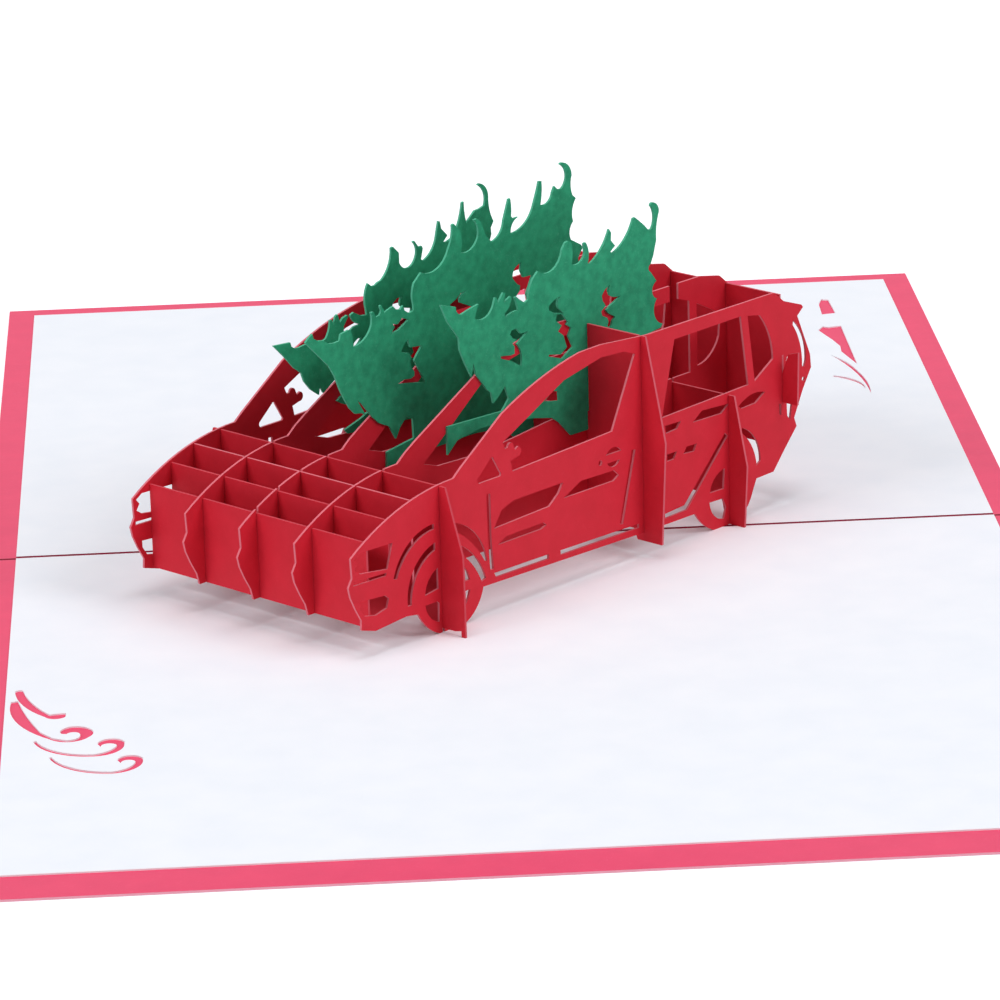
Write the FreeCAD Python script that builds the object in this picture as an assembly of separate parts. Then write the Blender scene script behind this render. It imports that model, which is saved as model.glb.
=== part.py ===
import FreeCAD, Part
import math
import os

os.makedirs("parts", exist_ok=True)

# Millimetres. X runs along the fold, Y towards the back half, Z up.
# Origin: middle of the fold, on the underside of the opened card.

card_width = 172.0            # along the fold
half_depth = 150.5            # each half, from the fold to its outer edge
cover_thickness = 0.35
liner_thickness = 0.25
liner_side_margin = 4.8       # coloured border left at the two sides
liner_front_margin = 8.5
liner_back_margin = 4.4
liner_fold_gap = 0.9          # bare strip along the fold
fold_score_width = 0.5        # pressed line that lets the cover bend
fold_score_depth = 0.12

plate_thickness = 0.4         # red plates of the car
tree_thickness = 0.4          # green slices of the tree
slot_clearance = 0.1          # added to a plate's thickness where two cross

car_turn = 43.6146            # degrees from the fold to the car's long axis
car_origin_x = -13.3          # point under the near side that the car is measured from
car_origin_y = -47.05
outline_unit = 1.0            # millimetres in one unit of the drawn outlines
rib_pitch = 12.21             # between the five lengthwise plates

nose_plate_at = -15.63        # cross plates, measured along the car
hood_plate_front_at = -10.73
hood_plate_back_at = -5.56
front_axle_at = 0.5
pillar_at = 48.43
rear_axle_at = 69.74
tailgate_at = 83.61

belly = 4.9                   # underside of the ribs and the nose plate above the card
cross_belly = 4.4             # underside of the two hood plates

nose_top = 18.9               # tops of the cross plates above the card
hood_front_top = 21.3
hood_back_top = 23.2
front_axle_top = 24.1
pillar_top = 37.5
pillar_sill = 22.6            # floor of the wide notch in the pillar plate
rear_axle_top = 22.4
tailgate_top = 36.4
tailgate_bottom = 10.0
lamp_flange_bottom = 17.8     # the tailgate's lamp flanges pass the sides from here up

side_pillar_joint = 20.5      # heights where two half slots meet
side_axle_joint = 12.0
side_rear_joint = 11.0
rib_joint = 14.0
nose_joint = 12.0
hood_joint = 13.0
tailgate_joint = 26.0

roof_gap_at = 70.4            # break in the ribs' roof strip over the rear axle
roof_gap_width = 2.2
roof_gap_bottom = 35.0
wing_edge = 11.4              # inner edge of the pillar wings, from the side plate

tab_from = 4.2                # glued tabs of the axle plates, measured outward
tab_width = 0.8
rear_tab_from = 1.6
rear_tab_width = 1.4

card_top = cover_thickness + liner_thickness
clear_height = 1.2 * pillar_top   # above every top edge; open slots are cut up to here
slot_width = plate_thickness + slot_clearance
half_plate = plate_thickness / 2
half_slot = slot_width / 2
far_side = -4 * rib_pitch


# Outlines: corners in order, "via" marks the middle point of an arc.

def drawn(points):
    return [(p[0] * outline_unit, p[1] * outline_unit) + tuple(p[2:]) for p in points]


def shifted(points, x, y):
    return [(p[0] + x, p[1] + y) + tuple(p[2:]) for p in points]


def wireOf(points, plane=0.0):
    edges = []
    count = len(points)
    vectors = [FreeCAD.Vector(p[0], p[1], plane) for p in points]
    index = 0
    while index < count:
        following = (index + 1) % count
        if len(points[following]) == 3:
            end = (index + 2) % count
            edges.append(Part.Arc(vectors[index], vectors[following], vectors[end]).toShape())
            index += 2
        else:
            edges.append(Part.LineSegment(vectors[index], vectors[following]).toShape())
            index += 1
    return Part.Wire(edges)


def sheetOf(outline, openings, bottom, top):
    height = FreeCAD.Vector(0, 0, top - bottom)
    sheet = Part.Face(wireOf(outline, bottom)).extrude(height)
    for opening in openings:
        tool = Part.Face(wireOf(opening, bottom - 1)).extrude(height + FreeCAD.Vector(0, 0, 2))
        sheet = sheet.cut(tool)
    return sheet


def slotBox(middle, low, high, width=slot_width):
    box = Part.makeBox(width, high - low, 10 * plate_thickness)
    box.translate(FreeCAD.Vector(middle - width / 2, low, -5 * plate_thickness))
    return box


def cutAll(shape, tools):
    for tool in tools:
        shape = shape.cut(tool)
    return shape


def discPoints(x, y, radius):
    return [(x - radius, y), (x, y + radius, "via"), (x + radius, y), (x, y - radius, "via")]


turn = math.radians(car_turn)
along = FreeCAD.Vector(math.cos(turn), math.sin(turn), 0)
across = FreeCAD.Vector(math.sin(turn), -math.cos(turn), 0)


def carPoint(s, t, height):
    base = FreeCAD.Vector(car_origin_x, car_origin_y, height)
    return base + along * s + across * t


def standing(shape, right, outward, base):
    matrix = FreeCAD.Matrix(right.x, 0, outward.x, base.x,
                            right.y, 0, outward.y, base.y,
                            0, 1, 0, base.z,
                            0, 0, 0, 1)
    return placed(shape, matrix)


def placed(shape, matrix):
    copy = shape.copy()
    copy.Placement = FreeCAD.Placement(matrix).multiply(shape.Placement)
    return copy


def lengthwise(shape, t):
    return standing(shape, along, across, carPoint(0, t, card_top))


def crosswise(shape, s):
    return standing(shape, across, along * -1, carPoint(s, 0, card_top))


def save(shape, name):
    solid = shape.Solids[0]
    if len(shape.Solids) != 1:
        raise ValueError(name + " is not one piece: " + str(len(shape.Solids)))
    solid.exportStep("parts/" + name + ".step")
    print(name, round(solid.Volume, 1), "mm3")


# The folded cover, opened flat

def rectangle(x0, x1, y0, y1):
    return [(x0, y0), (x1, y0), (x1, y1), (x0, y1)]


half_width = card_width / 2
cover = sheetOf(rectangle(-half_width, half_width, -half_depth, half_depth), [], 0, cover_thickness)
score = Part.makeBox(card_width + 2, fold_score_width, fold_score_depth + 1)
score.translate(FreeCAD.Vector(-half_width - 1, -fold_score_width / 2,
                               cover_thickness - fold_score_depth))
cover = cover.cut(score)
save(cover, "card_cover")

# Cut ornaments of the liner: four curled strokes in front, four pieces at the back

# front ones are measured from the liner's left and front edge
front_ornament = [
    [(1.4, 76.1), (2.9, 69.5, "via"), (6.2, 64.3), (7.8, 63.2, "via"), (9.3, 64.0), (9.4, 65.6),
     (8.2, 65.6, "via"), (6.9, 65.3), (4.4, 70.1, "via"), (2.6, 76.7), (2.0, 76.9, "via")],
    [(0.9, 71.7), (2.2, 61.7, "via"), (7.2, 54.3), (10.6, 52.9, "via"), (12.9, 54.6),
     (13.0, 58.5, "via"), (10.8, 59.7), (9.3, 59.1, "via"), (8.8, 56.6), (9.6, 56.4),
     (10.7, 57.1, "via"), (11.6, 56.2), (11.5, 54.9, "via"), (9.6, 53.7), (7.5, 54.9), (5.6, 57.8),
     (3.5, 64.7, "via"), (1.9, 72.1)],
    [(4.6, 53.8), (7.9, 48.3, "via"), (13.7, 46.2), (17.5, 48.1, "via"), (18.3, 51.1),
     (16.6, 53.6, "via"), (14.3, 51.4), (14.8, 50.1), (16.2, 51.5, "via"), (17.2, 50.5),
     (16.4, 48.9, "via"), (13.7, 47.1), (8.4, 49.0, "via"), (5.1, 53.9)],
    [(7.1, 46.6), (10.7, 40.8, "via"), (16.4, 38.6), (20.2, 40.6, "via"), (21.1, 43.9),
     (19.3, 46.1, "via"), (17.3, 44.1), (17.9, 42.7), (19.1, 44.1, "via"), (20.0, 43.2),
     (19.3, 41.4, "via"), (16.4, 39.4), (11.2, 41.4, "via"), (7.5, 46.7)],
]
# rear ones from its right and back edge
back_ornament = [
    [(-14.4, -22.5), (-14.2, -15.5), (-13.4, -12.2), (-12.1, -12.7), (-11.8, -21.9)],
    [(-16.3, -32.9), (-15.2, -30.5), (-14.2, -31.1), (-11.8, -30.5), (-11.8, -55.9), (-13.7, -47.5),
     (-13.5, -43.9), (-14.4, -39.7)],
    [(-16.0, -49.2), (-12.9, -60.1, "via"), (-11.6, -74.5), (-11.3, -68.6, "via"), (-12.3, -59.9),
     (-13.7, -54.1, "via")],
    [(-17.2, -63.1), (-14.0, -66.1, "via"), (-12.2, -71.3), (-13.4, -65.7, "via"), (-16.9, -62.5)],
]


# The axle plates' tabs pass through slits in the liner

def tabSlit(s, start, width):
    box = Part.makeBox(width + slot_clearance, slot_width, liner_thickness + 2)
    box.translate(FreeCAD.Vector(start - slot_clearance / 2, -half_slot, -1))
    matrix = FreeCAD.Matrix(across.x, along.x, 0, carPoint(s, 0, 0).x,
                            across.y, along.y, 0, carPoint(s, 0, 0).y,
                            0, 0, 1, cover_thickness,
                            0, 0, 0, 1)
    return placed(box, matrix)


liner_half = half_width - liner_side_margin
liner_front_edge = -half_depth + liner_front_margin
liner_back_edge = half_depth - liner_back_margin
near_tab = tabSlit(front_axle_at, tab_from, tab_width)
far_tab = tabSlit(front_axle_at, far_side - tab_from - tab_width, tab_width)
rear_tab = tabSlit(rear_axle_at, far_side - rear_tab_from - rear_tab_width, rear_tab_width)

liner_front = sheetOf(
    rectangle(-liner_half, liner_half, liner_front_edge, -liner_fold_gap / 2),
    [shifted(drawn(cut), -liner_half, liner_front_edge) for cut in front_ornament],
    cover_thickness, card_top)
save(cutAll(liner_front, [near_tab, far_tab]), "liner_front")

liner_back = sheetOf(
    rectangle(-liner_half, liner_half, liner_fold_gap / 2, liner_back_edge),
    [shifted(drawn(cut), liner_half, liner_back_edge) for cut in back_ornament],
    cover_thickness, card_top)
save(cutAll(liner_back, [rear_tab]), "liner_back")

# Side plates of the car, s along the car and height above the card

hood_line = [(5.5, 25.8), (3.8, 24.5), (-7.5, 22.9, "via"), (-19.6, 17.3)]
nose_line = [(-19.4, 14.1), (-20.3, 12.7), (-19.9, 11.0), (-18.9, 8.9), (-17.7, 6.8)]

side_outline = [
    (-17.8, 5.2), (-14.7, 4.3), (-7.8, 4.8), (-5.1, 4.4),
    (-3.4, 2.0, "via"), (-0.5, 0.0), (5.3, 0.0), (8.6, 2.5, "via"), (9.8, 5.0),
    (47.0, 4.1), (60.9, 4.0),
    (62.6, 1.9, "via"), (65.5, 0.0), (71.3, 0.0), (74.1, 1.9, "via"), (75.4, 4.0),
    (76.5, 6.2), (80.9, 6.3), (84.0, 9.7), (87.0, 12.8), (86.4, 14.4), (88.7, 18.8),
    (90.9, 22.2), (90.7, 24.5), (87.5, 31.9), (89.0, 33.1), (88.6, 33.6), (84.1, 35.2),
    (81.6, 37.2), (49.8, 37.3), (38.7, 38.2), (33.7, 38.1), (24.3, 35.9, "via"), (15.2, 32.3),
] + hood_line + nose_line

side_windows = [
    # front window, two lobes of the mirror at its lower front corner
    [(15.2, 27.6), (21.7, 30.6), (29.8, 34.4), (38.7, 36.1), (44.2, 35.8), (46.8, 34.8),
     (41.0, 23.1), (17.3, 22.3), (16.9, 24.1), (18.5, 24.5), (19.4, 25.3, "via"), (18.8, 26.1),
     (18.0, 25.7), (17.6, 26.8), (16.9, 27.1, "via"), (16.4, 26.5), (15.7, 26.4)],
    # quarter light, rear window, rear quarter window
    [(12.2, 25.6), (12.7, 25.8, "via"), (13.0, 25.4), (14.5, 22.8), (14.6, 22.4, "via"),
     (14.2, 22.2), (10.0, 22.2), (9.2, 22.5, "via"), (9.2, 23.1)],
    [(56.5, 35.0), (73.1, 35.1), (74.8, 22.9), (53.1, 22.4)],
    [(74.8, 34.8), (77.9, 34.2), (80.2, 30.6, "via"), (81.2, 25.9), (76.4, 23.1)],
]

front_wheel = [
    # gap between tyre and arch, front and rear stretch
    [(-7.4, 6.3), (-5.6, 12.3, "via"), (-0.8, 15.2), (-0.9, 13.9), (-4.7, 11.4, "via"),
     (-6.5, 6.3)],
    [(4.5, 13.4), (8.6, 10.0, "via"), (10.5, 6.3), (9.5, 5.9), (7.4, 9.4, "via"), (4.2, 12.2)],
    # line round the arch
    [(-10.4, 11.6), (-7.6, 15.9, "via"), (-1.0, 18.3), (-1.0, 17.4), (-6.9, 15.1, "via"),
     (-9.6, 11.4)],
    [(3.6, 17.2), (8.3, 14.4, "via"), (10.9, 9.0), (10.3, 9.2), (7.6, 12.8, "via"), (3.6, 15.9)],
    # four openings between the spokes
    [(-3.5, 7.0), (-2.3, 9.7, "via"), (-0.4, 10.9), (-0.4, 7.4)],
    [(-3.5, 5.4), (-2.3, 3.0, "via"), (-0.4, 1.9), (-0.3, 5.0), (-0.8, 5.4)],
    [(3.4, 7.0), (3.4, 11.0), (5.4, 9.7, "via"), (6.8, 7.0)],
    [(3.4, 5.4), (3.4, 1.8), (5.4, 2.9, "via"), (6.8, 5.4)],
]

rear_wheel = [
    [(72.9, 15.9), (76.3, 13.4, "via"), (77.6, 9.0), (76.6, 8.4), (75.5, 12.0, "via"),
     (72.9, 15.0)],
    [(64.6, 6.6), (65.9, 8.9, "via"), (68.5, 10.0), (68.2, 6.5)],
    [(64.5, 5.0), (65.5, 2.6, "via"), (68.1, 1.3), (68.7, 3.2), (67.9, 4.9)],
    [(70.6, 6.6), (70.6, 9.8), (72.2, 8.7, "via"), (73.1, 6.6)],
    [(70.6, 5.0), (70.6, 1.6), (72.2, 2.7, "via"), (73.1, 5.0)],
]

door_cuts = [
    # two upright door seams and the slim slits above the sill
    [(11.1, 20.0), (12.0, 20.0), (12.0, 12.3), (12.3, 7.3), (11.5, 7.3), (11.2, 12.3)],
    [(45.6, 18.9), (46.5, 18.7), (43.1, 6.8), (42.3, 7.0)],
    [(12.4, 6.6), (25.2, 6.4), (25.2, 5.6), (12.8, 5.8)],
    [(28.0, 6.3), (47.0, 5.9), (47.0, 5.2), (28.0, 5.5)],
    # long swages of the front and rear door
    [(12.6, 13.9), (14.5, 16.6), (17.4, 17.5), (29.0, 17.5), (27.9, 15.9), (25.7, 14.3)],
    [(29.0, 14.8), (33.2, 16.7), (41.2, 16.5), (42.4, 15.4), (41.1, 14.7)],
    [(13.4, 11.0), (15.4, 12.0), (24.2, 12.0), (24.9, 11.4), (23.6, 11.0)],
    [(53.8, 20.9), (57.8, 20.8), (56.8, 19.7), (54.0, 19.5)],
    [(60.6, 19.8), (63.0, 21.3), (69.9, 20.9), (67.9, 19.6)],
    [(72.2, 19.8), (75.0, 21.0, "via"), (79.0, 20.7), (76.6, 19.3), (73.0, 19.2)],
    # door handles
    discPoints(38.0, 18.5, 0.45),
    [(39.3, 19.4), (41.2, 20.4, "via"), (43.1, 19.4)],
    [(39.6, 18.0), (41.1, 17.1, "via"), (42.7, 18.0)],
    [(54.2, 15.9), (56.7, 15.9), (55.9, 14.7), (54.2, 14.7)],
    [(58.2, 15.0), (59.1, 16.1), (61.6, 16.0), (60.9, 14.8)],
    # seam that slants down over the rear wheel
    [(68.7, 16.1), (69.4, 15.4), (58.9, 5.2), (53.4, 5.1), (53.4, 5.9), (58.2, 6.2)],
]

front_cuts = [
    # head lamp, a slit below it, fog lamp
    [(-18.9, 15.2), (-18.2, 16.2), (-18.9, 17.0), (-17.6, 17.8), (-10.3, 17.6), (-11.6, 13.6),
     (-17.7, 14.4)],
    [(-19.2, 13.4), (-11.9, 13.1), (-12.0, 12.6), (-19.3, 12.8)],
    [(-18.0, 9.9), (-12.4, 9.5), (-11.5, 8.8), (-12.0, 7.3), (-14.5, 6.8), (-17.0, 7.3),
     (-18.0, 8.8)],
]

rear_cuts = [
    [(86.4, 31.4), (89.1, 27.6, "via"), (89.6, 23.6), (89.2, 22.6), (88.6, 22.9),
     (88.1, 27.0, "via"), (86.3, 30.6)],
    discPoints(88.9, 20.6, 0.4),
    # around the tail lamp
    [(83.6, 22.6), (84.8, 25.5), (85.5, 25.2), (84.6, 22.6)],
    [(82.5, 17.7), (83.1, 17.7), (83.1, 15.7), (82.6, 15.8)],
    [(84.5, 17.6), (85.9, 16.9), (85.4, 14.2), (84.6, 15.2)],
]

side_cuts = side_windows + front_wheel + rear_wheel + door_cuts + front_cuts + rear_cuts
side_plate = sheetOf(drawn(side_outline), [drawn(cut) for cut in side_cuts],
                     -half_plate, half_plate)
side_plate = cutAll(side_plate, [
    slotBox(front_axle_at, -1, side_axle_joint),
    slotBox(pillar_at, 0, side_pillar_joint),
    slotBox(rear_axle_at, -1, side_rear_joint),
    slotBox(tailgate_at, lamp_flange_bottom, tailgate_joint),
])
save(lengthwise(side_plate, 0), "side_plate_near")
save(lengthwise(side_plate, far_side), "side_plate_far")

# Three ribs between the sides: hood, windscreen strip, belt, roof strip, tail

rib_underside = [(-17.2 * outline_unit, belly), (81.0 * outline_unit, belly)]
rib_outline = rib_underside + drawn([
    (84.0, 8.0), (86.6, 12.5), (86.9, 22.0, "via"), (86.2, 32.0),
    (84.4, 36.0), (82.0, 38.0), (77.0, 39.0), (38.0, 39.0), (30.2, 37.6, "via"), (22.3, 34.8),
    (15.3, 31.1), (7.9, 27.2),
] + hood_line + nose_line)

rib_openings = [
    # cabin, then the rear opening behind its thin post
    [(9.7, 23.0), (13.0, 21.9), (20.6, 21.6), (28.2, 22.0), (39.6, 23.0), (74.2, 23.0),
     (74.2, 35.4), (71.6, 36.3), (38.0, 36.5), (30.8, 35.6, "via"), (24.1, 33.5)],
    [(76.0, 23.7), (79.5, 24.9, "via"), (81.6, 27.6), (82.0, 30.8), (81.8, 31.6), (76.0, 34.6)],
]

rib_plain = sheetOf(rib_outline, [drawn(cut) for cut in rib_openings], -half_plate, half_plate)
rib_plain = cutAll(rib_plain, [
    slotBox(front_axle_at, rib_joint, clear_height),
    slotBox(pillar_at, 0, rib_joint),
    slotBox(rear_axle_at, rib_joint, roof_gap_bottom),
    slotBox(roof_gap_at, roof_gap_bottom, clear_height, roof_gap_width),
    slotBox(tailgate_at, 0, tailgate_joint),
])


def slotsBelow():
    return [
        slotBox(nose_plate_at, 0, nose_joint),
        slotBox(hood_plate_front_at, 0, hood_joint),
        slotBox(hood_plate_back_at, 0, hood_joint),
    ]


def slotsAbove():
    return [
        slotBox(nose_plate_at, nose_joint, clear_height),
        slotBox(hood_plate_front_at, hood_joint, clear_height),
        slotBox(hood_plate_back_at, hood_joint, clear_height),
    ]


rib_outer = cutAll(rib_plain, slotsBelow())
rib_centre = cutAll(rib_plain, slotsAbove())
save(lengthwise(rib_outer, -rib_pitch), "rib_near")
save(lengthwise(rib_centre, -2 * rib_pitch), "rib_middle")
save(lengthwise(rib_outer, -3 * rib_pitch), "rib_far")


# Cross plates: t runs across the car, 0 at the near side plate

def mirrored(points):
    return [(far_side - p[0],) + tuple(p[1:]) for p in reversed(points)]


def symmetric(near_points):
    return near_points + mirrored(near_points)


rib_lines = [-rib_pitch, -2 * rib_pitch, -3 * rib_pitch]
side_lines = [0.0, far_side]


def slotsAt(lines, low, high):
    return [slotBox(line, low, high) for line in lines]


def noseCross(bottom, top, joint):
    ends = symmetric([(-half_plate, bottom), (-half_plate, top)])
    plate = sheetOf(ends, [], -half_plate, half_plate)
    over = slotsAt([rib_lines[0], rib_lines[2]], joint, clear_height)
    under = slotsAt([rib_lines[1]], 0, joint)
    return cutAll(plate, over + under)


# nose and hood plates end at the inner faces of the sides
save(crosswise(noseCross(belly, nose_top, nose_joint), nose_plate_at), "nose_plate")
save(crosswise(noseCross(cross_belly, hood_front_top, hood_joint), hood_plate_front_at),
     "hood_plate_front")
save(crosswise(noseCross(cross_belly, hood_back_top, hood_joint), hood_plate_back_at),
     "hood_plate_back")

# front axle plate: flared ends in front of the wheels, a glued tab at each end
front_axle_outline = symmetric(drawn([
    (-6.0, 4.4), (-4.5, 0.7), (2.8, 0.7),
]) + [
    (tab_from, 1.0), (tab_from, -liner_thickness), (tab_from + tab_width, -liner_thickness),
] + drawn([
    (5.0, 9.6), (4.9, 13.5), (3.3, 18.4),
]) + [(1.5, front_axle_top)])
front_axle = sheetOf(front_axle_outline, [], -half_plate, half_plate)
front_axle = cutAll(front_axle, slotsAt(side_lines, side_axle_joint, clear_height)
                    + slotsAt(rib_lines, 0, rib_joint))
save(crosswise(front_axle, front_axle_at), "front_axle_plate")

# pillar plate behind the front doors, with a wide notch that clears the tree
pillar_outline = symmetric(drawn([
    (-2.0, 4.4), (-1.3, 2.6), (4.0, 2.6), (5.1, 20.1), (4.2, 24.3),
]) + [(1.2, pillar_top), (-wing_edge, pillar_top), (-wing_edge, pillar_sill)])
pillar = sheetOf(pillar_outline, [], -half_plate, half_plate)
pillar = cutAll(pillar, slotsAt(side_lines, side_pillar_joint, clear_height)
                + slotsAt(rib_lines, rib_joint, pillar_sill + 1))
save(crosswise(pillar, pillar_at), "pillar_plate")

# rear axle plate: feet stand on the card, the far one has the glued tab
rear_axle_outline = symmetric(drawn([
    (-1.5, 4.4), (-0.6, 0.0), (3.4, 0.0), (4.1, 10.7), (2.4, 18.3),
]) + [(1.5, rear_axle_top)])
rear_axle = sheetOf(rear_axle_outline, [], -half_plate, half_plate)
rear_tab_box = Part.makeBox(rear_tab_width, liner_thickness + 1.0, plate_thickness)
rear_tab_box.translate(FreeCAD.Vector(far_side - rear_tab_from - rear_tab_width,
                                      -liner_thickness, -half_plate))
rear_axle = rear_axle.fuse(rear_tab_box).removeSplitter()
rear_axle = cutAll(rear_axle, slotsAt(side_lines, side_rear_joint, clear_height)
                   + slotsAt(rib_lines, 0, rib_joint))
save(crosswise(rear_axle, rear_axle_at), "rear_axle_plate")

# tailgate plate with a lamp flange at each side
tailgate_outline = symmetric([
    (-half_plate, tailgate_bottom), (-half_plate, lamp_flange_bottom),
    (3.4, lamp_flange_bottom), (3.7, 27.0), (1.6, 26.4), (half_plate, 22.8),
    (half_plate, tailgate_top),
])
tailgate = sheetOf(tailgate_outline, [], -half_plate, half_plate)
tailgate = cutAll(tailgate, slotsAt(side_lines + rib_lines, tailgate_joint, clear_height))
save(crosswise(tailgate, tailgate_at), "tailgate_plate")

# Tree slices, each flat against the near face of its rib, trunk towards the nose

tree_near = [
    (14.3, 48.3), (17.8, 47.2), (18.0, 46.3, "via"), (19.0, 45.7), (20.3, 46.0, "via"),
    (23.0, 46.5), (22.5, 45.5, "via"), (22.1, 44.3), (24.6, 43.9, "via"), (26.4, 45.4),
    (26.9, 46.7), (27.2, 46.6), (27.5, 45.6), (28.1, 46.2), (28.8, 47.1), (29.3, 46.9),
    (28.9, 45.4), (30.5, 46.1), (30.7, 45.7), (30.2, 44.6, "via"), (29.0, 43.6), (29.2, 42.9),
    (30.5, 43.3, "via"), (32.2, 43.4), (31.9, 44.6, "via"), (31.4, 45.7), (31.9, 45.7),
    (32.8, 44.9, "via"), (33.9, 44.3), (34.6, 44.6), (35.2, 46.7, "via"), (37.1, 48.8),
    (37.8, 48.5), (38.5, 48.1), (39.5, 48.0), (41.8, 49.0, "via"), (42.9, 51.1), (43.4, 51.7),
    (44.5, 52.2, "via"), (45.3, 51.2), (45.4, 49.7, "via"), (45.1, 48.2), (47.2, 48.1, "via"),
    (48.3, 49.4), (48.1, 51.0), (48.6, 51.1), (49.3, 49.2, "via"), (49.0, 47.5), (49.5, 47.3),
    (52.2, 49.1, "via"), (54.3, 52.1), (54.8, 51.4), (54.7, 50.1), (55.7, 49.0), (54.5, 48.2),
    (55.2, 47.9), (58.0, 49.5, "via"), (60.2, 52.6), (60.7, 52.7), (62.8, 51.0), (64.0, 49.8),
    (64.7, 49.9), (65.3, 51.9, "via"), (64.5, 53.9), (64.8, 54.3), (66.1, 53.8, "via"),
    (66.6, 52.5), (65.9, 50.1, "via"), (65.8, 47.8), (65.0, 45.3), (64.3, 44.0),
    (63.8, 43.5, "via"), (64.2, 42.7), (65.7, 40.8), (64.6, 39.6, "via"), (65.7, 37.8),
    (64.9, 36.0, "via"), (67.0, 33.2), (66.5, 32.6), (50.4, 31.0), (50.4, 19.4), (44.0, 19.5),
    (41.2, 22.4), (39.6, 23.5), (35.3, 24.5), (28.2, 25.6), (22.3, 25.9), (17.2, 25.2),
    (14.9, 23.3), (15.0, 28.0), (27.8, 27.5), (29.5, 29.2), (28.6, 31.5), (27.0, 30.1),
    (25.8, 29.3), (25.4, 31.2), (24.5, 31.8), (22.1, 34.9), (21.4, 37.0), (20.9, 34.9),
    (19.5, 37.5), (18.4, 39.9), (18.3, 41.9), (15.8, 45.2),
]
tree_near_cuts = [
    [(31.6, 40.5), (30.5, 40.4), (30.1, 39.8), (30.8, 39.0), (31.7, 38.6), (30.6, 38.2),
     (31.1, 37.6), (31.1, 36.4), (30.3, 36.3), (27.8, 36.7), (27.9, 36.3), (30.4, 35.3),
     (32.6, 33.9), (32.8, 35.4, "via"), (32.1, 37.4), (31.7, 37.8), (32.9, 38.5), (34.4, 39.4),
     (32.6, 39.4)],
    [(42.4, 43.4), (40.4, 43.0, "via"), (39.4, 42.3), (39.5, 41.7), (40.6, 41.0), (43.0, 40.4),
     (41.9, 41.4), (41.5, 42.2, "via")],
    [(41.3, 40.6), (42.6, 40.4), (44.0, 38.7), (43.5, 38.4), (44.7, 37.6), (43.9, 36.4),
     (45.0, 34.3), (42.4, 32.9), (39.1, 34.0), (39.2, 34.3), (42.0, 33.7), (43.5, 34.6),
     (42.7, 36.8), (41.5, 37.7), (42.4, 38.5), (41.0, 39.6)],
    [(54.3, 42.8), (53.8, 41.8), (54.1, 40.9), (55.1, 40.4), (56.8, 40.2), (54.3, 39.2),
     (53.2, 38.6), (53.8, 37.9), (55.4, 37.0), (54.7, 36.5), (54.3, 35.5), (53.4, 35.8),
     (53.7, 36.6), (53.4, 37.3), (52.2, 37.9), (52.0, 38.7), (53.1, 39.4), (52.4, 40.4),
     (52.2, 41.3), (52.9, 42.1)],
    [(37.7, 26.7), (39.8, 28.0), (41.2, 27.7), (41.3, 26.0)],
]

tree_middle = [
    (-3.9, 44.1), (-3.2, 44.7), (-2.3, 45.2), (-2.1, 44.4), (-1.1, 43.8), (0.1, 43.6), (1.2, 42.8),
    (2.4, 42.6), (3.7, 42.7), (4.0, 43.7), (4.5, 43.8), (5.8, 44.0), (6.3, 43.8), (6.6, 42.6),
    (6.7, 41.0), (8.8, 41.4, "via"), (10.5, 42.7), (11.1, 44.3, "via"), (10.9, 45.7), (11.5, 45.7),
    (12.1, 44.7), (12.9, 44.8), (13.3, 45.4), (13.0, 46.3), (13.3, 46.4), (13.9, 45.5),
    (14.0, 44.9), (14.9, 45.3), (16.0, 45.6), (16.7, 44.9), (17.6, 44.7), (18.3, 45.2),
    (18.6, 44.3), (19.7, 43.6), (20.7, 43.8), (20.7, 44.8), (20.5, 46.6, "via"), (21.0, 48.3),
    (22.7, 49.7), (23.8, 49.3), (27.1, 49.8, "via"), (29.1, 52.1), (30.0, 54.0, "via"),
    (30.2, 56.0), (30.6, 56.1), (31.9, 54.8), (32.4, 52.8, "via"), (32.0, 51.0),
    (34.9, 51.2, "via"), (36.2, 52.8), (36.2, 54.3, "via"), (35.3, 55.7), (36.0, 55.8),
    (37.1, 55.0), (37.8, 53.0, "via"), (39.4, 51.2), (41.2, 52.0, "via"), (42.3, 54.1),
    (43.1, 56.1), (43.6, 57.4), (44.0, 57.5), (44.2, 55.8, "via"), (44.1, 54.5), (44.5, 54.0),
    (45.8, 54.0), (44.4, 53.2, "via"), (43.9, 51.6), (47.3, 52.5, "via"), (49.6, 55.4),
    (50.5, 57.5, "via"), (51.0, 58.9), (51.6, 58.8), (51.6, 57.2, "via"), (51.2, 54.9),
    (53.2, 55.0, "via"), (54.1, 56.3), (54.7, 57.3), (55.4, 56.6), (56.3, 56.5),
    (57.5, 58.1, "via"), (56.0, 60.7), (56.5, 60.9), (58.2, 60.1, "via"), (58.9, 58.3),
    (58.6, 56.6, "via"), (59.0, 54.9), (59.8, 54.2), (58.9, 52.6, "via"), (59.0, 50.4),
    (58.1, 49.0, "via"), (58.4, 47.4), (60.7, 46.1), (61.2, 45.5), (60.0, 43.9), (60.4, 42.0),
    (61.4, 39.6), (60.4, 37.0), (61.8, 33.8), (60.8, 32.4), (50.4, 31.0), (50.4, 17.0),
    (43.4, 17.0), (40.6, 19.2), (34.0, 19.9), (20.5, 19.8), (15.6, 19.0), (13.3, 16.9),
    (13.5, 21.8), (19.8, 22.6), (19.7, 25.9), (18.2, 26.6), (16.7, 25.2), (15.7, 23.5),
    (14.3, 25.9), (12.0, 27.0), (10.3, 28.6), (8.2, 31.2), (7.1, 32.1), (8.9, 29.2), (7.9, 29.7),
    (6.6, 29.9), (5.4, 31.1), (4.3, 32.9), (3.5, 34.4), (2.3, 37.2), (1.2, 39.0),
]
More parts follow.
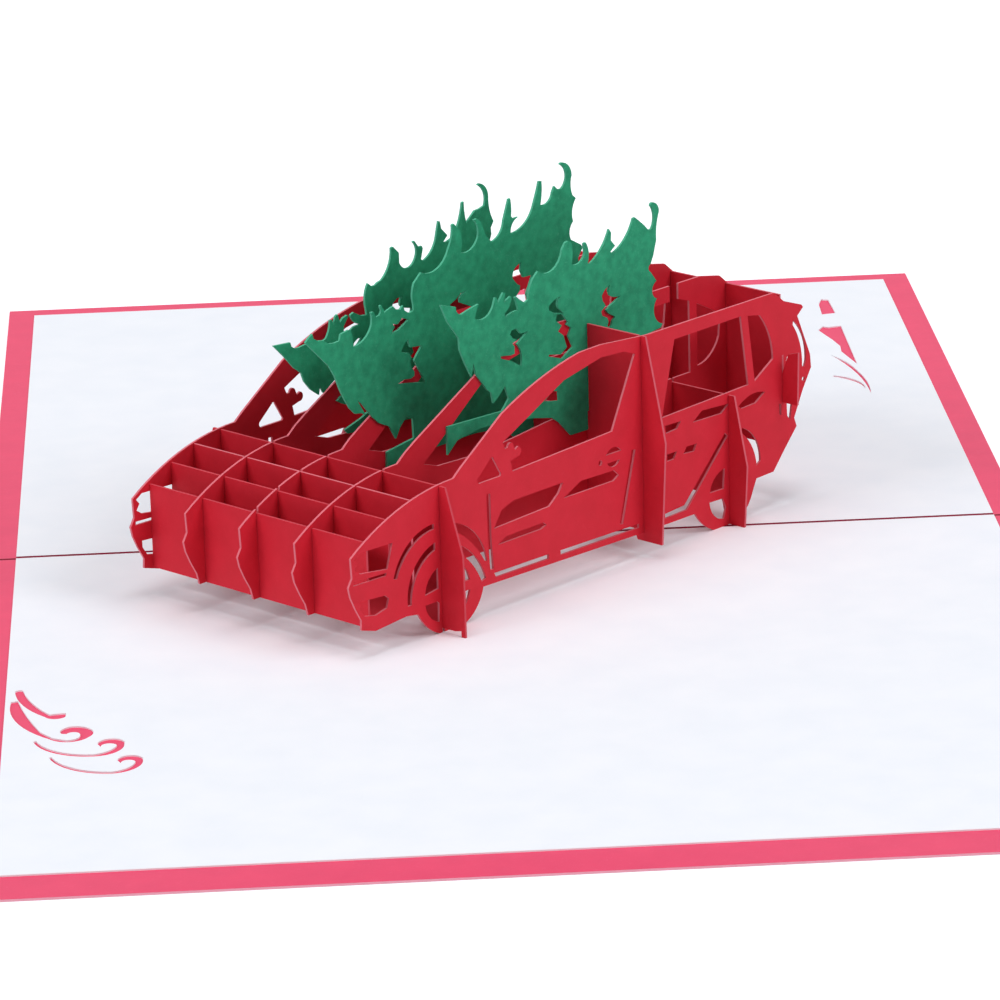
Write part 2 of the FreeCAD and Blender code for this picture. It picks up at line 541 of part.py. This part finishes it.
tree_middle_cuts = [
    [(19.1, 39.4), (18.0, 38.5), (17.5, 37.6), (19.4, 37.0), (19.8, 36.2), (19.5, 35.4),
     (19.7, 34.7), (20.4, 33.7), (20.4, 33.0), (19.6, 32.7), (17.9, 32.9), (16.4, 32.5),
     (20.4, 31.8), (22.9, 31.3), (21.4, 33.9), (20.9, 34.8), (20.5, 35.5), (21.1, 36.3),
     (22.4, 37.6), (19.7, 37.9)],
    [(33.3, 44.5), (31.6, 44.2), (30.6, 43.5), (29.1, 42.9), (29.6, 42.0), (30.9, 40.6),
     (32.8, 40.5), (34.5, 41.3), (32.8, 42.1), (31.5, 42.7), (31.4, 43.4), (32.1, 44.0)],
    [(46.2, 46.3), (45.0, 45.8), (44.2, 44.9, "via"), (44.1, 43.9), (45.1, 42.8), (45.8, 42.4),
     (45.7, 41.5), (44.7, 40.7), (46.9, 39.1), (47.7, 39.4), (47.3, 40.6), (48.9, 43.5),
     (46.6, 43.6), (46.0, 44.8)],
    [(18.0, 43.2), (19.5, 42.6), (17.1, 41.4), (15.3, 41.1), (16.2, 42.1), (15.8, 42.7),
     (16.9, 42.4)],
]

tree_far = [
    (0.9, 40.3), (4.7, 40.0), (4.9, 39.3), (5.6, 38.8), (6.5, 38.7), (8.1, 38.9), (9.9, 39.0),
    (11.8, 38.4), (12.8, 38.8), (13.6, 40.2, "via"), (13.8, 41.6), (14.2, 41.6), (14.6, 40.7),
    (15.1, 42.0), (15.6, 42.2), (16.1, 40.7), (16.8, 41.3), (17.8, 41.6), (18.0, 41.3),
    (16.9, 39.9), (16.8, 38.1), (18.1, 38.2), (18.4, 38.9), (19.2, 39.3), (20.8, 39.4),
    (19.2, 40.2, "via"), (18.5, 41.4), (19.3, 41.7), (20.9, 40.8), (22.3, 40.6), (22.2, 41.5),
    (22.0, 43.7, "via"), (22.8, 45.8), (23.6, 45.1), (24.5, 45.1), (25.0, 45.4), (25.9, 45.6),
    (27.7, 47.5, "via"), (28.4, 50.5), (28.9, 50.6), (30.2, 49.3), (30.2, 47.7),
    (31.3, 46.5, "via"), (33.8, 47.3), (34.3, 48.7, "via"), (33.5, 50.4), (33.9, 50.5),
    (34.8, 49.3), (35.6, 49.3), (35.8, 48.8), (35.3, 47.1), (35.8, 46.7), (37.7, 47.8, "via"),
    (39.0, 50.0), (39.7, 52.6), (40.0, 52.5), (40.3, 51.2), (41.7, 49.8), (40.6, 48.8),
    (41.5, 48.7), (42.8, 49.1), (44.0, 50.5), (45.1, 53.1, "via"), (45.4, 54.5), (45.8, 54.6),
    (45.9, 52.8, "via"), (46.3, 50.9), (48.4, 52.5), (49.6, 52.6), (50.7, 52.9),
    (50.8, 54.9, "via"), (49.2, 56.7), (49.7, 56.9), (51.0, 56.1, "via"), (51.7, 54.3),
    (51.8, 52.5, "via"), (52.8, 49.8), (52.1, 48.8), (52.2, 47.7), (51.6, 46.3), (53.6, 44.8),
    (52.3, 42.6), (53.2, 39.6), (52.2, 36.8), (53.8, 33.6), (52.8, 31.6), (50.4, 31.0),
    (50.4, 17.8), (43.6, 17.8), (40.8, 19.6), (32.0, 20.6), (24.0, 21.4), (17.0, 21.7),
    (16.3, 22.5), (20.3, 23.6), (24.0, 25.2), (19.0, 27.2), (17.4, 26.5), (16.0, 27.0),
    (14.7, 27.8), (15.6, 28.3), (16.9, 28.6), (16.0, 30.0), (14.6, 31.6), (11.7, 29.9),
    (11.0, 31.3), (10.7, 29.8), (8.9, 31.1), (7.5, 32.8), (6.9, 34.4), (5.3, 35.6), (3.1, 38.1),
]
tree_far_cuts = [
    [(30.8, 41.9), (30.1, 41.2, "via"), (30.1, 40.4), (30.6, 39.9), (32.7, 39.4), (32.5, 38.3),
     (29.0, 39.3), (28.2, 40.6), (28.4, 41.2), (29.4, 41.8)],
    [(21.0, 37.2), (20.4, 36.5), (19.5, 35.8), (18.8, 35.7), (19.1, 36.6), (19.9, 37.1)],
    [(30.2, 38.4), (32.2, 37.6), (32.0, 36.6), (29.7, 35.7), (27.4, 35.6), (28.1, 37.1),
     (27.7, 37.9)],
    [(32.4, 33.1), (35.3, 32.9), (34.3, 31.4), (33.2, 30.7), (31.8, 31.2), (32.9, 31.8)],
    [(46.7, 39.8), (44.3, 39.7), (42.7, 38.8), (41.2, 37.9), (42.0, 36.8), (43.4, 35.3),
     (45.8, 35.2), (47.9, 36.2), (46.1, 37.4)],
]

tree_slot_width = slot_width + 0.1


def treeSlice(outline, cuts):
    tree = sheetOf(drawn(outline), [drawn(cut) for cut in cuts],
                   half_plate, half_plate + tree_thickness)
    return tree.cut(slotBox(pillar_at, rib_joint, pillar_sill, tree_slot_width))


save(lengthwise(treeSlice(tree_near, tree_near_cuts), -rib_pitch), "tree_slice_near")
save(lengthwise(treeSlice(tree_middle, tree_middle_cuts), -2 * rib_pitch), "tree_slice_middle")
save(lengthwise(treeSlice(tree_far, tree_far_cuts), -3 * rib_pitch), "tree_slice_far")
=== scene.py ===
import bpy
import math
from mathutils import Matrix, Vector

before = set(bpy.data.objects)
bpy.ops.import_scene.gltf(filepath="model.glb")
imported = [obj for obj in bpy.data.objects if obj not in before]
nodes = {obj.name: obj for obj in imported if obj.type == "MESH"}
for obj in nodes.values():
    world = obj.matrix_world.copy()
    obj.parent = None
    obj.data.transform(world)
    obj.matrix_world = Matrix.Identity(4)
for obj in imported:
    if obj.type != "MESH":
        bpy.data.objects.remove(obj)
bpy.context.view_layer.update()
print("stage: pop up card loaded,", len(nodes), "sheets")

mm = 0.001

# What all the card and paper materials share: where their noises turn from low to high,
# the height of the tooth, and how far a wall turns before it counts as a cut edge
grainLook = {"cloudLow": 0.3, "cloudHigh": 0.7, "fibreLow": 0.56, "fibreHigh": 0.72,
             "toothMm": 0.03, "wallCosine": 0.7}


def linear(hexCode):
    # sRGB hex to the linear colour that shaders work in
    channels = [int(hexCode[i:i + 2], 16) / 255 for i in (0, 2, 4)]
    bent = [c / 12.92 if c <= 0.04045 else ((c + 0.055) / 1.055) ** 2.4 for c in channels]
    return (*bent, 1.0)


def addNode(tree, kind, settings=None, sockets=None, links=None):
    # one node: its settings, its plain socket values, its incoming links
    node = tree.nodes.new(kind)
    for key, value in (settings or {}).items():
        setattr(node, key, value)
    for key, value in (sockets or {}).items():
        node.inputs[key].default_value = value
    for key, source in (links or {}).items():
        tree.links.new(source, node.inputs[key])
    return node


def broadSide(node):
    # the direction that a flat sheet faces, read from its largest triangle
    largest = max(node.data.polygons, key=lambda polygon: polygon.area)
    return largest.normal.copy()


def cardMaterial(name, look, facing):
    material = bpy.data.materials.new(name)
    material.use_nodes = True
    tree = material.node_tree
    tree.nodes.clear()
    place = addNode(tree, "ShaderNodeTexCoord").outputs["Object"]

    # pulp clouds: slow, faint changes of depth in the dye
    cloud = addNode(tree, "ShaderNodeTexNoise", None,
                    {"Scale": 1 / (look["cloudMm"] * mm), "Detail": 2.0, "Roughness": 0.5},
                    {"Vector": place})
    cloudRange = addNode(tree, "ShaderNodeMapRange", None,
                         {"From Min": grainLook["cloudLow"], "From Max": grainLook["cloudHigh"]},
                         {"Value": cloud.outputs["Fac"]})
    faceTone = addNode(tree, "ShaderNodeMix", {"data_type": "RGBA"},
                       {6: linear(look["face"]), 7: linear(look["faceDeep"])},
                       {0: cloudRange.outputs["Result"]})

    # fibres: short bent flecks a few tenths of a millimetre wide
    fibre = addNode(tree, "ShaderNodeTexNoise", None,
                    {"Scale": 1 / (look["fibreMm"] * mm), "Detail": 3.0, "Roughness": 0.65,
                     "Distortion": 1.4},
                    {"Vector": place})
    fibreRange = addNode(tree, "ShaderNodeMapRange", None,
                         {"From Min": grainLook["fibreLow"], "From Max": grainLook["fibreHigh"],
                          "To Max": look["fibreShow"]},
                         {"Value": fibre.outputs["Fac"]})
    flecked = addNode(tree, "ShaderNodeMix", {"data_type": "RGBA"},
                      {7: linear(look["fibre"])},
                      {0: fibreRange.outputs["Result"], 6: faceTone.outputs[2]})

    # cut edge: every wall that doesn't face the way its sheet does
    outward = addNode(tree, "ShaderNodeNewGeometry").outputs["True Normal"]
    turned = addNode(tree, "ShaderNodeVectorMath", {"operation": "DOT_PRODUCT"},
                     {1: tuple(facing)}, {0: outward})
    alike = addNode(tree, "ShaderNodeMath", {"operation": "ABSOLUTE"}, None,
                    {0: turned.outputs["Value"]})
    wall = addNode(tree, "ShaderNodeMath", {"operation": "LESS_THAN"},
                   {1: grainLook["wallCosine"]}, {0: alike.outputs[0]})
    coloured = addNode(tree, "ShaderNodeMix", {"data_type": "RGBA"},
                       {7: linear(look["edge"])},
                       {0: wall.outputs[0], 6: flecked.outputs[2]})

    if "foldShade" in look:
        # fold: painted shade of its groove, a darker strip along it
        axes = addNode(tree, "ShaderNodeSeparateXYZ", None, None, {"Vector": place})
        fromFold = addNode(tree, "ShaderNodeMath", {"operation": "ABSOLUTE"}, None,
                           {0: axes.outputs["Y"]})
        inFoldShade = addNode(tree, "ShaderNodeMath", {"operation": "LESS_THAN"},
                          {1: look["foldShadeHalfMm"] * mm}, {0: fromFold.outputs[0]})
        coloured = addNode(tree, "ShaderNodeMix", {"data_type": "RGBA"},
                           {7: linear(look["foldShade"])},
                           {0: inFoldShade.outputs[0], 6: coloured.outputs[2]})

    tooth = addNode(tree, "ShaderNodeBump", None,
                    {"Strength": look["tooth"], "Distance": grainLook["toothMm"] * mm},
                    {"Height": fibre.outputs["Fac"]})
    shader = addNode(tree, "ShaderNodeBsdfPrincipled", None,
                     {"Roughness": look["roughness"], "Specular IOR Level": look["specular"]},
                     {"Base Color": coloured.outputs[2], "Normal": tooth.outputs["Normal"]})
    addNode(tree, "ShaderNodeOutputMaterial", None, None, {"Surface": shader.outputs["BSDF"]})
    return material


def dye(node, material):
    # every slot of a sheet gets its material, the sheet itself is left alone
    for slot in node.material_slots:
        slot.material = material


# The cover: coated card dyed crimson pink, smooth with a soft shine
coverLook = {
    "face": "E6436B", "faceDeep": "E04068", "cloudMm": 6.0,
    "fibre": "EC6485", "fibreMm": 0.7, "fibreShow": 0.25,
    "edge": "F0A3B6", "tooth": 0.15, "roughness": 0.55, "specular": 0.4,
    # the fold: painted shade, a dark crimson strip along it
    "foldShade": "9A1E3A", "foldShadeHalfMm": 0.45,
}
# The two liners: uncoated white text paper, cool white with a very faint tooth,
# with painted shade along the fold: a dark crimson strip where they meet it
linerLook = {
    "face": "F2F5FC", "faceDeep": "EEF2FA", "cloudMm": 9.0,
    "fibre": "F6F8FD", "fibreMm": 0.8, "fibreShow": 0.3,
    "edge": "EDEFF5", "tooth": 0.12, "roughness": 0.8, "specular": 0.25,
    "foldShade": "A8324F", "foldShadeHalfMm": 0.46,
}
# The car: red dyed card cut by laser, matte, its cut edges burnt to a pale pink
redLook = {
    "face": "D21C31", "faceDeep": "CB192D", "cloudMm": 3.5,
    "fibre": "D83343", "fibreMm": 0.6, "fibreShow": 0.3,
    "edge": "DA6E7B", "tooth": 0.25, "roughness": 0.68, "specular": 0.3,
}
# the car's cross plates: their cut edges are painted a darker pink as painted shade, those in
# front the darkest
redShadedEdgeLook = dict(redLook, edge="C8404E")
redHalfShadedEdgeLook = dict(redLook, edge="CF5865")
# The tree: green dyed card, felt-like, with clouded dye and visible fibres
greenLook = {
    "face": "2EA378", "faceDeep": "228C66", "cloudMm": 1.6,
    "fibre": "4FB18C", "fibreMm": 0.45, "fibreShow": 0.45,
    "edge": "4FAE8C", "tooth": 0.5, "roughness": 0.75, "specular": 0.25,
}

# plates whose cut edges carry painted shade: the darkest, then the half-darkened
shadedEdgePlates = ("nose_plate", "hood_plate_front", "front_axle_plate")
halfShadedEdgePlates = ("pillar_plate", "rear_axle_plate", "tailgate_plate")
families = {
    "card_cover": ("coatedCrimsonCard", coverLook),
    "liner": ("whiteTextPaper", linerLook),
    "tree": ("greenDyedCard", greenLook),
}

made = {}
for nodeName, node in sorted(nodes.items()):
    family = next((key for key in families if nodeName.startswith(key)), None)
    if family:
        label, look = families[family]
    elif nodeName in shadedEdgePlates:
        label, look = "redDyedCardShadedEdge", redShadedEdgeLook
    elif nodeName in halfShadedEdgePlates:
        label, look = "redDyedCardHalfShadedEdge", redHalfShadedEdgeLook
    else:
        label, look = "redDyedCard", redLook
    facing = broadSide(node)
    turn = round(math.degrees(math.atan2(facing.y, facing.x))) % 180
    key = label if abs(facing.z) > 0.9 else label + str(turn)
    if key not in made:
        made[key] = cardMaterial(key, look, facing)
    dye(node, made[key])
print("stage: materials on every sheet:", ", ".join(sorted(made)))


# White table: keeps the soft shadow, and reads as a plain white background
tableLook = {"radius": 9.0, "stepDegrees": 5, "drop": 0.05 * mm, "colour": "E9ECF1",
             "glow": 0.35}

ring = [(tableLook["radius"] * math.cos(math.radians(a)),
         tableLook["radius"] * math.sin(math.radians(a)), -tableLook["drop"])
        for a in range(0, 360, tableLook["stepDegrees"])]
tableMesh = bpy.data.meshes.new("table")
tableMesh.from_pydata(ring, [], [list(range(len(ring)))])
table = bpy.data.objects.new("table", tableMesh)
bpy.context.scene.collection.objects.link(table)
tableMaterial = bpy.data.materials.new("whiteTable")
tableMaterial.use_nodes = True
tree = tableMaterial.node_tree
tree.nodes.clear()
plain = addNode(tree, "ShaderNodeBsdfDiffuse", None, {"Color": linear(tableLook["colour"])})
seen = addNode(tree, "ShaderNodeLightPath")
lift = addNode(tree, "ShaderNodeMath", {"operation": "MULTIPLY"}, {1: tableLook["glow"]},
               {0: seen.outputs["Is Camera Ray"]})
glow = addNode(tree, "ShaderNodeEmission", None, None, {"Strength": lift.outputs[0]})
both = addNode(tree, "ShaderNodeAddShader", None, None,
               {0: plain.outputs["BSDF"], 1: glow.outputs["Emission"]})
addNode(tree, "ShaderNodeOutputMaterial", None, None, {"Surface": both.outputs["Shader"]})
table.data.materials.append(tableMaterial)


# Light: a dim room, wide softboxes in front on the left and right, one overhead
lightLook = {"room": 0.26, "seenRoom": 1.0, "aim": (0.0, 0.0, 0.02)}
lampLooks = {
    "leftSoftbox": {"power": 186.0, "size": 3.6, "place": (-5.73, -3.06, 3.75)},
    "rightSoftbox": {"power": 207.0, "size": 3.6, "place": (5.22, -2.79, 4.62)},
    "overheadSoftbox": {"power": 96.0, "size": 2.4, "place": (0.0, -0.54, 4.75)},
}

world = bpy.data.worlds.new("room")
bpy.context.scene.world = world
world.use_nodes = True
tree = world.node_tree
tree.nodes.clear()
seen = addNode(tree, "ShaderNodeLightPath")
direct = addNode(tree, "ShaderNodeMath", {"operation": "MAXIMUM"}, None,
                 {0: seen.outputs["Is Camera Ray"], 1: seen.outputs["Is Glossy Ray"]})
direct = addNode(tree, "ShaderNodeMath", {"operation": "MAXIMUM"}, None,
                 {0: direct.outputs[0], 1: seen.outputs["Is Transmission Ray"]})
level = addNode(tree, "ShaderNodeMix", {"data_type": "FLOAT"},
                {2: lightLook["room"], 3: lightLook["seenRoom"]}, {0: direct.outputs[0]})
air = addNode(tree, "ShaderNodeBackground", None, {"Color": (1, 1, 1, 1)},
              {"Strength": level.outputs[0]})
addNode(tree, "ShaderNodeOutputWorld", None, None, {"Surface": air.outputs["Background"]})

for lampName, look in lampLooks.items():
    lampData = bpy.data.lights.new(lampName, "AREA")
    lampData.shape = "DISK"
    lampData.size = look["size"]
    lampData.energy = look["power"]
    lamp = bpy.data.objects.new(lampName, lampData)
    lamp.location = look["place"]
    aimAt = Vector(lightLook["aim"]) - lamp.location
    lamp.rotation_euler = aimAt.to_track_quat("-Z", "Y").to_euler()
    bpy.context.scene.collection.objects.link(lamp)
print("stage: table, room light and lamps")


# Camera: long lens, looking down a little, turned slightly right and tilted
cameraLook = {"lensMm": 198.37, "sensorMm": 36.0, "clipEnd": 50.0,
              "down": 17.9007, "right": 2.9145, "tilt": -1.6538,
              "target": (0.0, 19.255 * mm, 0.6 * mm), "distance": 931.835 * mm}

down = math.radians(cameraLook["down"])
right = math.radians(cameraLook["right"])
tilt = math.radians(cameraLook["tilt"])
ahead = Vector((math.sin(right) * math.cos(down), math.cos(right) * math.cos(down),
                -math.sin(down)))
side = ahead.cross(Vector((0, 0, 1))).normalized()
up = side.cross(ahead)
leanSide = side * math.cos(tilt) + up * math.sin(tilt)
leanUp = up * math.cos(tilt) - side * math.sin(tilt)
turnMatrix = Matrix((leanSide, leanUp, -ahead)).transposed()
cameraData = bpy.data.cameras.new("camera")
cameraData.lens = cameraLook["lensMm"]
cameraData.sensor_width = cameraLook["sensorMm"]
cameraData.clip_end = cameraLook["clipEnd"]
camera = bpy.data.objects.new("camera", cameraData)
camera.matrix_world = (Matrix.Translation(
    Vector(cameraLook["target"]) - ahead * cameraLook["distance"]) @ turnMatrix.to_4x4())
bpy.context.scene.collection.objects.link(camera)
bpy.context.scene.camera = camera
bpy.context.scene.view_settings.view_transform = "Standard"
print("stage: camera")
